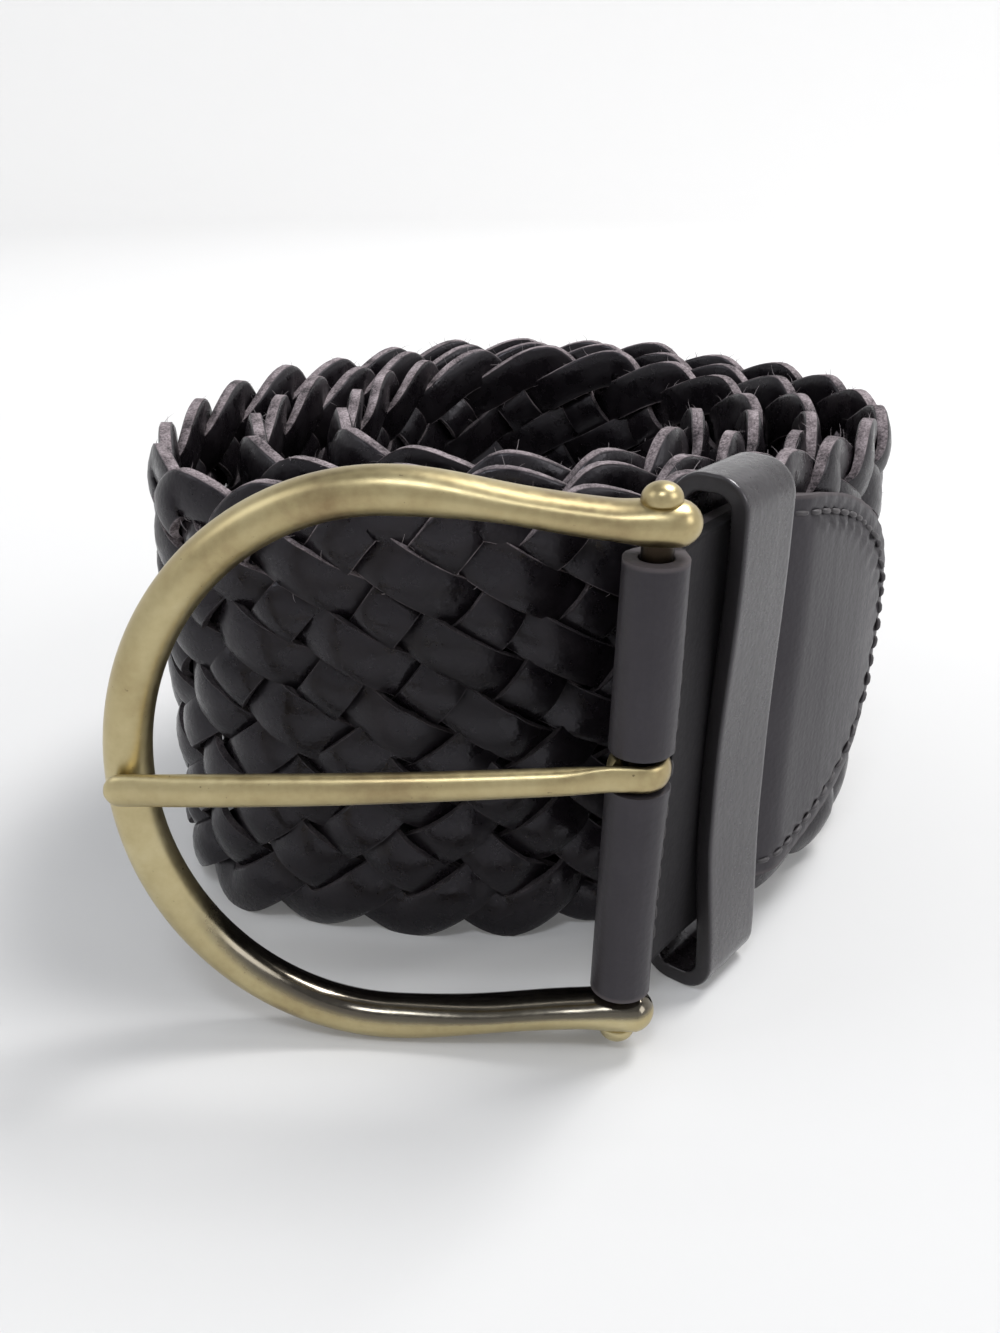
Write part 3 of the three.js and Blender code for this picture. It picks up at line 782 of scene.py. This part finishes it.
def wire_stations():
    """Middle, outward direction, width and depth of the wire from the upper eye to the far side."""
    rows = []
    end_width, end_depth = WIRE_WIDTH * WIRE_WIDTHS[0], WIRE_DEPTH * WIRE_DEPTHS[0]
    eye = wire_middle(-1)
    for a in np.radians(EYE_DEGREES):
        middle = np.array([EYE_ROUND * (1 - math.cos(a)) - EYE_OVERHANG, eye[1]])
        rows.append((middle, np.array([0.0, 1.0]), end_width * math.sin(a),
                     end_depth * math.sin(a)))
    arm, bow = np.linspace(-1, 0, ARM_POINTS), np.linspace(0, 1, BOW_POINTS)[1:]
    for along in np.concatenate([arm, bow]):
        ahead = wire_middle(min(along + WIRE_LOOK, 1)) - wire_middle(max(along - WIRE_LOOK, -1))
        across = np.array([-ahead[1], ahead[0]]) / np.linalg.norm(ahead)
        if along == 1:
            across = np.array([1.0, 0.0])
        rows.append((wire_middle(along), across,
                     WIRE_WIDTH * eased(along, WIRE_ALONG, WIRE_WIDTHS),
                     WIRE_DEPTH * eased(along, WIRE_ALONG, WIRE_DEPTHS)))
    return rows


def wire_ring(row, mirror):
    middle, across, width, depth = row
    angles = full_turn(BRASS_SIDES)
    w, d = width / 2 * np.cos(angles), depth / 2 * np.sin(angles)
    return buckle_place(middle[0] + across[0] * w, d, (middle[1] + across[1] * w) * mirror)


def horseshoe():
    rows = wire_stations()
    rings = [wire_ring(row, 1) for row in rows] + [wire_ring(row, -1) for row in rows[-2::-1]]
    return tube("horseshoe", np.array(rings))


brass_frame = horseshoe()
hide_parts("buckle_frame")
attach(brass_frame, "frame")
print("horseshoe faces:", len(brass_frame.data.polygons))

# %% [markdown]
# The bar is a round pin through both eyes, riveted over into a low dome at each end. Its profile is
# a list of radii and heights up to the middle, mirrored above it and turned once round.

# %% The bar
HEAD_RADIUS, HEAD_HEIGHT = 2.4, 2.2
HEAD_SUNK, HEAD_BLUNTNESS, HEAD_UNDERCUT = 0.2, 0.85, 0.96
HEAD_BACK, PIN_TOP, PIN_EVEN = 0.25, 0.35, 1
POLE_RADIUS, POLE_ANGLE = 0.02, 0.15
HEAD_POINTS, PIN_POINTS = 12, 8


def bar():
    arm_face = ARM_SPREAD / 2 + WIRE_WIDTH * WIRE_WIDTHS[0] / 2 - HEAD_SUNK
    profile = [(POLE_RADIUS, -arm_face - HEAD_HEIGHT)]
    profile += [(HEAD_RADIUS * math.sin(a), -arm_face - HEAD_HEIGHT * math.cos(a) ** HEAD_BLUNTNESS)
                for a in np.linspace(POLE_ANGLE, np.pi / 2, HEAD_POINTS)]
    profile += [(HEAD_RADIUS * HEAD_UNDERCUT, -arm_face + HEAD_BACK)]
    profile += [(BAR_RADIUS, -arm_face + PIN_TOP)]
    profile += [(BAR_RADIUS, z) for z in np.linspace(-arm_face + PIN_EVEN, 0, PIN_POINTS)]
    profile += [(r, -z) for r, z in profile[-2::-1]]
    angles = full_turn(BRASS_SIDES)
    rings = [buckle_place(r * np.cos(angles), r * np.sin(angles), z + 0 * angles)
             for r, z in profile]
    return tube("bar", np.array(rings))


brass_bar = bar()
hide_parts("buckle_bar")
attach(brass_bar, "root")
print("bar faces:", len(brass_bar.data.polygons))

# %% [markdown]
# The prong is a bent brass wire, flattened where it wraps round the bar, a little arched over the
# opening, and thinner where its tip rests on the horseshoe. Its rows run from the tip to the loop.

# %% The prong
PRONG_WIDTH, PRONG_DEPTH, PRONG_TIP_DEPTH = 4.3, 3.2, 2.4
PRONG_LOOP_DEPTH, PRONG_LOOP_WIDTH = 1.7, 0.82
PRONG_SHORT, PRONG_DROP, PRONG_BOW, PRONG_REST_GAP = 1.4, 3.6, 0.96, 0.1
TIP_SHARES, TIP_ROUND, TIP_LEAST, TIP_BLUNTNESS = [0.0, 0.004, 0.012, 0.024], 0.03, 0.1, 0.35
SHAFT_START, SHAFT_POINTS, PRONG_SIDES = 0.04, 44, 20
TIP_TAPER, LOOP_TAPER = (0.02, 0.2), (0.9, 1)
LOOP_BEGIN, LOOP_SWEEP, LOOP_POINTS = 90, 300, 30


def prong_rows():
    """Distance from the bar, distance forwards, depth, width share and drop of each section."""
    loop = BAR_RADIUS + BAR_CLEARANCE + PRONG_LOOP_DEPTH / 2
    rest = WIRE_DEPTH / 2 + PRONG_REST_GAP + PRONG_TIP_DEPTH / 2
    reach = FRAME_REACH - PRONG_SHORT
    rows = []
    for t in np.concatenate([TIP_SHARES, np.linspace(SHAFT_START, 1, SHAFT_POINTS)]):
        depth = PRONG_TIP_DEPTH + (PRONG_DEPTH - PRONG_TIP_DEPTH) * float(smooth(t, *TIP_TAPER))
        depth += (PRONG_LOOP_DEPTH - depth) * float(smooth(t, *LOOP_TAPER))
        tip = max(1 - (1 - min(t / TIP_ROUND, 1)) ** 2, TIP_LEAST) ** TIP_BLUNTNESS
        width = tip * (1 + (PRONG_LOOP_WIDTH - 1) * float(smooth(t, TIP_TAPER[1], 1)))
        ahead = rest + (loop - rest) * t + PRONG_BOW * math.sin(math.pi * t)
        rows.append((reach + (PRONG_DEPTH - reach) * t, ahead, depth * max(tip, 0.5), width,
                     PRONG_DROP * (1 - t)))
    for k in range(1, LOOP_POINTS + 1):
        x, y = loop * pointing(LOOP_BEGIN + LOOP_SWEEP * k / LOOP_POINTS)
        rows.append((x, y, PRONG_LOOP_DEPTH, PRONG_LOOP_WIDTH, 0))
    return rows


def prong():
    rows = prong_rows()
    ahead = unit_rows(np.gradient(np.array([row[:2] for row in rows]), axis=0))
    angles = full_turn(PRONG_SIDES)
    rings = []
    for (x, y, depth, width, drop), (ax, ay) in zip(rows, ahead):
        d, h = depth / 2 * np.cos(angles), PRONG_WIDTH / 2 * width * np.sin(angles)
        rings.append(buckle_place(x - ay * d, y + ax * d, PRONG_RISE - drop + h))
    return tube("prong_wire", np.array(rings))


brass_prong = prong()
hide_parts("prong")
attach(brass_prong, "prong")
print("prong faces:", len(brass_prong.data.polygons))

# %% [markdown]
# Shader maths reads better as formulas, so a small class wraps a socket: + - * on it add Math
# nodes, and its node method adds any other node with its settings and inputs. The patterns that
# come back in every finish, such as noise and pores, are short methods over it.

# %% A wrapper for shader sockets
class Wire:
    """A socket of a shader, or the place in a material where new nodes go."""

    def __init__(self, tree, socket=None):
        self.tree, self.socket = tree, socket

    def put(self, value, target):
        """Link a wire to an input, or set the input's value."""
        if isinstance(value, Wire):
            self.tree.links.new(value.socket, target)
        else:
            target.default_value = value

    def node(self, kind, settings=None, output=0, **inputs):
        """Add a node: settings are set first, inputs are given by name with _ for a space."""
        made = self.tree.nodes.new(kind)
        stops = (settings or {}).pop("stops", None)
        for key, value in (settings or {}).items():
            setattr(made, key, value)
        if stops:
            ramp = made.color_ramp
            while len(ramp.elements) < len(stops):
                ramp.elements.new(0.5)
            for element, (position, color) in zip(ramp.elements, stops):
                element.position, element.color = position, (*color, 1)
        for key, value in inputs.items():
            numbered = key[0] == "i" and key[1:].isdigit()
            self.put(value, made.inputs[int(key[1:]) if numbered else key.replace("_", " ")])
        return Wire(self.tree, made.outputs[output])

    def math(self, operation, a, b=0.0):
        return self.node("ShaderNodeMath", {"operation": operation}, i0=a, i1=b)

    def __add__(self, other):
        return self.math("ADD", self, other)

    def __sub__(self, other):
        return self.math("SUBTRACT", self, other)

    def __rsub__(self, other):
        return self.math("SUBTRACT", other, self)

    def __mul__(self, other):
        return self.math("MULTIPLY", self, other)

    def __abs__(self):
        return self.math("ABSOLUTE", self)

    __radd__, __rmul__ = __add__, __mul__

    def span(self, low, high, to_low=0.0, to_high=1.0):
        """The value moved smoothly from one range to another."""
        return self.node("ShaderNodeMapRange", {"interpolation_type": "SMOOTHSTEP"}, Value=self,
                         From_Min=low, From_Max=high, To_Min=to_low, To_Max=to_high)

    def mix(self, other, factor):
        """A colour mixed towards another by a factor. The colour inputs are numbers 6 and 7."""
        made = self.tree.nodes.new("ShaderNodeMix")
        made.data_type = "RGBA"
        for value, place in ((factor, 0), (self, 6), (other, 7)):
            self.put(value, made.inputs[place])
        return Wire(self.tree, made.outputs[2])

    def place(self, kind="Object"):
        """Where a point lies: in Object coordinates, in the UV map, or which way it faces."""
        return self.node("ShaderNodeTexCoord", output=kind)

    def axis(self, name):
        return self.node("ShaderNodeSeparateXYZ", output=name, Vector=self)

    def noise(self, scale, detail, roughness=0.5):
        return self.node("ShaderNodeTexNoise", Vector=self, Scale=scale, Detail=detail,
                         Roughness=roughness)

    def pores(self, scale):
        return self.node("ShaderNodeTexVoronoi", Vector=self, Scale=scale)

    def ramp(self, stops):
        return self.node("ShaderNodeValToRGB", {"stops": stops}, Fac=self)

    def bump(self, distance, strength):
        return self.node("ShaderNodeBump", Height=self, Distance=distance, Strength=strength)


def new_material(name, base, roughness, metallic=0.0, specular=0.5, coat=0.0, coat_roughness=0.3,
                 tint=(1, 1, 1)):
    """A material with its plain values set, and its wire and main shader to build on."""
    material = bpy.data.materials.new(name)
    material.use_nodes = True
    shader = material.node_tree.nodes["Principled BSDF"]
    plain = {"Base Color": (*base, 1), "Roughness": roughness, "Metallic": metallic,
             "Specular IOR Level": specular, "Coat Weight": coat,
             "Coat Roughness": coat_roughness, "Specular Tint": (*tint, 1)}
    for socket, value in plain.items():
        shader.inputs[socket].default_value = value
    return material, Wire(material.node_tree), shader


def feed(wire, shader, **inputs):
    for key, value in inputs.items():
        wire.tree.links.new(value.socket, shader.inputs[key.replace("_", " ")])


def dress(piece, material):
    piece.data.materials.clear()
    piece.data.materials.append(material)
    print(piece.name, "wears", material.name)


# %% [markdown]
# The strands are dyed leather: nearly black with a hint of plum, softly shining on the smooth side,
# with a fine grain. Their cut edges were never dyed through, so they are a pale mauve grey, fibrous
# and dull; the colour keeps them pale only near the top of the roll and mostly dark lower down. The
# UV map tells the sides apart: its second number goes once round the strand, and the two cut edges
# sit at known places on that way.

# %% Strand leather
SECTION_STEPS = len(SECTION) - 1
EDGE_SPOTS = (5.5 / SECTION_STEPS, 11.5 / SECTION_STEPS)
EDGE_FADE = (0.085, 0.05)
PALE_HEIGHTS = (0.056, 0.066)
LEATHER_TINT = (0.95, 0.92, 1.0)
PLUM_BLACK = [(0.3, (0.0035, 0.003, 0.0037)), (0.55, (0.0075, 0.006, 0.0075)),
              (0.8, (0.017, 0.014, 0.016))]
RAW_MAUVE = [(0.38, (0.015, 0.012, 0.013)), (0.49, (0.15, 0.125, 0.132)),
             (0.64, (0.38, 0.33, 0.345))]


def strand_leather():
    material, wire, shader = new_material("strand_leather", (0.01, 0.008, 0.01), 0.4, specular=0.34,
                                          tint=LEATHER_TINT)
    round_strand = wire.place("UV").axis("Y")
    spot = wire.place()
    from_edge = wire.math("MINIMUM", *(abs(round_strand - edge) for edge in EDGE_SPOTS))
    fibre = spot.noise(2600.0, 4.0, 0.7)
    patch = spot.noise(260.0, 4.0, 0.6)
    broad = spot.noise(60.0, 3.0)
    raw = (from_edge + fibre * 0.03).span(*EDGE_FADE)
    # The cut edges are pale near the top of the roll and mostly dark lower down.
    topmost = (spot.axis("Z") + patch * 0.008).span(*PALE_HEIGHTS, 0.16, 1.0)
    smooth_color = (broad * 0.6 + patch * 0.4).ramp(PLUM_BLACK)
    raw_color = (fibre * 0.5 + patch * 0.5).ramp(RAW_MAUVE)
    rough = patch.span(0.3, 0.7, 0.2, 0.42) + raw * 0.5
    height = spot.pores(1500.0) * 0.25 + patch * 0.5 + raw * fibre * 2.2
    feed(wire, shader, Base_Color=smooth_color.mix(raw_color, raw * topmost), Roughness=rough,
         Normal=height.bump(0.0002, 0.5))
    return material


leather_of_strands = strand_leather()
for piece in braid:
    dress(piece, leather_of_strands)
dress(fibres, new_material("loose_fibre", (0.28, 0.25, 0.26), 0.8, specular=0.2)[0])

# %% [markdown]
# The end piece and the keeper are smooth leather with a fine grain. The end piece is matter and
# greyer, because it has been rubbed; the keeper is darker and glossier, under a thin coat. Two
# places follow the sheet's UV map: the cut rim, pale on the end piece and black on the keeper, and
# the end piece's neck under the keeper, painted dark as painted shade for the deep shadow there.

# %% Smooth leather
def grain_leather(name, dark, light, rough_range, specular, bump_strength, rim, neck=None,
                  coat=0.0):
    """Fine grained leather. rim colours the sheet's long sides, and neck is a stretch of the sheet,
    its start, its end and a darker colour painted there as painted shade."""
    material, wire, shader = new_material(name, light, rough_range[1], specular=specular,
                                          tint=LEATHER_TINT, coat=coat, coat_roughness=0.18)
    spot = wire.place()
    cloud = spot.noise(70.0, 5.0, 0.6)
    fine = spot.noise(1400.0, 3.0)
    streak = wire.node("ShaderNodeMapping", Vector=spot, Scale=(1.0, 1.0, 0.1)).noise(420.0, 3.0)
    color = (cloud * 0.75 + fine * 0.25).ramp([(0.3, dark), (0.7, light)])
    rough = (cloud * 0.4 + fine * 0.3 + streak * 0.3).span(0.3, 0.7, *rough_range)
    height = spot.pores(1100.0) * 0.4 + fine * 0.5 + cloud * 0.6 + streak * 1.1
    edge = abs(wire.place("UV").axis("Y") - 0.5).span(0.488, 0.497)
    color = color.mix((*rim, 1), edge)
    rough = rough + edge * 0.3
    # The neck's darker colour is painted shade, for the deep shadow between the bar and the keeper.
    if neck:
        low, high, neck_shade_color = neck
        along = wire.place("UV").axis("X") + (fine - 0.5) * 0.02
        neck_shade_mask = along.span(low - 0.01, low + 0.01) * along.span(high + 0.005, high - 0.015)
        color = color.mix((*neck_shade_color, 1), neck_shade_mask)
        rough = rough + neck_shade_mask * 0.35
        height = height + neck_shade_mask * cloud * 3.0
    feed(wire, shader, Base_Color=color, Roughness=rough,
         Normal=height.bump(0.00018, bump_strength))
    return material


def neck_share(distance):
    """Where a distance along the outer layer lies on the end piece's UV map."""
    return np.interp(-distance, -outer_stations, np.arange(len(outer_stations))) / TAB_COLUMNS


# From NECK_NEAR to NECK_FAR the end piece gets the last colour below: painted shade for the shadow
# under the keeper.
NECK_FAR, NECK_NEAR = 21, 3.2
neck_place = (neck_share(NECK_FAR), neck_share(NECK_NEAR))
dress(tab, grain_leather("tab_leather", (0.012, 0.010, 0.012), (0.026, 0.023, 0.026), (0.36, 0.5),
                         0.42, 0.35, rim=(0.07, 0.06, 0.062),
                         neck=(*neck_place, (0.0035, 0.0028, 0.0028))))
dress(keeper_band, grain_leather("loop_leather", (0.008, 0.0065, 0.007), (0.02, 0.017, 0.019),
                                 (0.22, 0.38), 0.5, 0.3, rim=(0.004, 0.003, 0.003), coat=0.35))
dress(seam_thread, new_material("waxed_thread", (0.05, 0.045, 0.048), 0.5)[0])

# %% [markdown]
# The brass is old: a satin, slightly olive gold with faint darker clouds and specks. Metal shows
# what is around it, so most of its look comes from the lights. The lower arm's upper side is
# shinier, with a painted dark reflection of the strap, and the bar is dark but for its heads, as
# the leather shades it.

# %% Old brass
OLIVE_GOLD = [(0.3, (0.27, 0.2, 0.105)), (0.45, (0.42, 0.345, 0.185)),
              (0.58, (0.5, 0.425, 0.24)), (0.72, (0.58, 0.51, 0.31))]
SPECK_BROWN, SHADED_BROWN = (0.05, 0.035, 0.02, 1), (0.03, 0.022, 0.015, 1)
# The grey on this line is a painted reflection: the dark strap mirrored on the lower arm's upper
# side.
DARK_REFLECTION_GREY, DARK_REFLECTION_BELOW, DARK_REFLECTION_FADE = (0.09, 0.085, 0.085, 1), 19, 6
SHADED_HALF, SHADE_BEYOND, SHADE_INSIDE = ARM_SPREAD / 2 + 0.8, 0.6, 0.4


def old_brass(name, shaded_half=None, dark_reflection_below=None):
    """Satin old brass; shaded_half darkens it up to that height above and below the bar's middle,
    and under the height of the last argument the upward side is shinier, with a painted dark
    reflection."""
    material, wire, shader = new_material(name, (0.38, 0.32, 0.17), 0.36, metallic=1.0)
    spot = wire.place()
    cloud = spot.noise(55.0, 6.0, 0.6)
    fine = spot.noise(900.0, 4.0)
    color = (cloud * 0.85 + fine * 0.15).ramp(OLIVE_GOLD)
    color = color.mix(SPECK_BROWN, spot.noise(1300.0, 2.0).span(0.72, 0.8) * 0.6)
    rough = (cloud * 0.5 + fine * 0.5).span(0.3, 0.7, 0.3, 0.42)
    if shaded_half:
        from_middle = abs(spot.axis("Z") - BAR_HEIGHT * MM)
        shaded = from_middle.span((shaded_half + SHADE_BEYOND) * MM,
                                  (shaded_half - SHADE_INSIDE) * MM)
        color = color.mix(SHADED_BROWN, shaded)
    # A painted dark reflection of the strap on the upward side of the lower arm, with less
    # roughness.
    if dark_reflection_below:
        low = spot.axis("Z").span((dark_reflection_below + DARK_REFLECTION_FADE) * MM, (dark_reflection_below - DARK_REFLECTION_FADE) * MM)
        dark_reflection = (wire.place("Normal").axis("Z") + cloud * 0.3).span(0.35, 0.75) * low
        color = color.mix(DARK_REFLECTION_GREY, dark_reflection * 0.85)
        rough = rough - dark_reflection * 0.2
    feed(wire, shader, Base_Color=color, Roughness=rough,
         Normal=(cloud * 0.5 + fine * 0.6).bump(0.00012, 0.1))
    return material


dress(brass_prong, old_brass("old_brass"))
dress(brass_frame, old_brass("horseshoe_brass", dark_reflection_below=DARK_REFLECTION_BELOW))
dress(brass_bar, old_brass("bar_brass", shaded_half=SHADED_HALF))

# %% [markdown]
# A plain pale floor curves up all round into a pale wall, like a wide shallow bowl, so that no edge
# shows behind the belt from any side. It is a grid bent round: one way out from the middle and up,
# the other way round. It glows a very little, which keeps its far parts as pale as the near ones.

# %% Floor and backdrop
FLOOR_RADII = (1, 200, 500, 800, 1100)
WALL_BEND, WALL_HEIGHT = 500, 1500
BEND_POINTS, BOWL_SIDES = 15, 64
FLOOR_GREY, FLOOR_GLOW = (0.57, 0.57, 0.57), 0.08


def studio_bowl():
    edge = FLOOR_RADII[-1]
    profile = [(r, 0.0) for r in FLOOR_RADII]
    profile += [(edge + WALL_BEND * math.sin(a), WALL_BEND * (1 - math.cos(a)))
                for a in np.linspace(0, np.pi / 2, BEND_POINTS + 1)[1:]]
    profile += [(edge + WALL_BEND, WALL_HEIGHT)]
    places = [[(r * math.cos(a), r * math.sin(a), z) for a in full_turn(BOWL_SIDES)]
              for r, z in profile]
    piece = tube("floor", np.array(places))
    only(piece)
    bpy.ops.object.shade_smooth()
    return piece


def open_top(piece):
    """Take away the face that closes the bowl at its top, and turn the rest inwards."""
    delete_faces(piece, lambda polygon: polygon.center.z > (WALL_HEIGHT - 1) * MM)
    bpy.ops.object.mode_set(mode="EDIT")
    bpy.ops.mesh.select_all(action="SELECT")
    bpy.ops.mesh.flip_normals()
    bpy.ops.object.mode_set(mode="OBJECT")


floor = studio_bowl()
open_top(floor)
floor_paint, _, floor_shader = new_material("pale_floor", FLOOR_GREY, 0.7, specular=0.1)
floor_shader.inputs["Emission Color"].default_value = (1, 1, 1, 1)
floor_shader.inputs["Emission Strength"].default_value = FLOOR_GLOW
dress(floor, floor_paint)

# %% [markdown]
# The light is soft, as in a product studio. A big key lamp stands high behind the belt to the
# right, two large lamps fill from the sides, one lights the wall behind, and a small one in front
# draws the bright lines on the brass. The sky adds a faint cool light from everywhere. Lamps are
# rows of a table: name, place, what it looks at, its two sides, power and colour.

# %% Lights
LAMPS = [
    ("key_lamp", (720, 500, 1560), (0, 0, 20), (640, 640), 27, (1, 0.99, 0.98)),
    ("right_lamp", (1120, -470, 870), (10, -20, 40), (650, 650), 4.6, (1, 1, 1)),
    ("left_lamp", (-1150, -210, 1110), (0, 0, 40), (750, 750), 3.4, (0.95, 0.97, 1)),
    ("back_lamp", (0, 300, 1100), (0, 1500, 600), (1400, 500), 8, (1, 1, 1)),
    ("front_lamp", (-120, -680, 1250), (0, -40, 50), (360, 220), 4.4, (0.9, 0.94, 1)),
]
SKY_COLOR, SKY_STRENGTH = (0.95, 0.96, 1, 1), 0.28


def lamp(name, place, look_at, size, power, color):
    bpy.ops.object.light_add(type="AREA", location=np.array(place) * MM)
    light = bpy.context.active_object
    light.name = name
    light.data.shape = "RECTANGLE"
    light.data.size, light.data.size_y = size[0] * MM, size[1] * MM
    light.data.energy = power
    light.data.color = color
    x, y, z = np.array(look_at, float) - np.array(place, float)
    light.rotation_euler = (math.atan2(math.hypot(x, y), -z), 0, math.atan2(-x, y))


for row in LAMPS:
    lamp(*row)
world = bpy.data.worlds.new("studio")
bpy.context.scene.world = world
world.use_nodes = True
sky = world.node_tree.nodes["Background"]
sky.inputs["Color"].default_value = SKY_COLOR
sky.inputs["Strength"].default_value = SKY_STRENGTH
bpy.context.scene.view_settings.view_transform = "Standard"
print("lamps:", [row[0] for row in LAMPS])

# %% [markdown]
# The camera looks down by 24.6 degrees from 116 mm above the floor, close to the belt, which gives
# the strong perspective of a phone picture.

# %% Camera
CAMERA_PITCH, CAMERA_HEIGHT = 24.6, 115.8
CAMERA_X, CAMERA_BACK = -4.5, 211
FOCAL_SHARE = 1250 / 1333
SENSOR = 36
CLIP_START = 0.005

camera_place = np.array([CAMERA_X + SHIFT[0], SHIFT[1] - CAMERA_BACK, CAMERA_HEIGHT]) * MM
bpy.ops.object.camera_add(location=camera_place, rotation=(math.radians(90 - CAMERA_PITCH), 0, 0))
camera = bpy.context.active_object
camera.data.sensor_width = SENSOR
camera.data.lens = FOCAL_SHARE * SENSOR
camera.data.clip_start = CLIP_START
bpy.context.scene.camera = camera
print("camera at", camera_place.round(4))
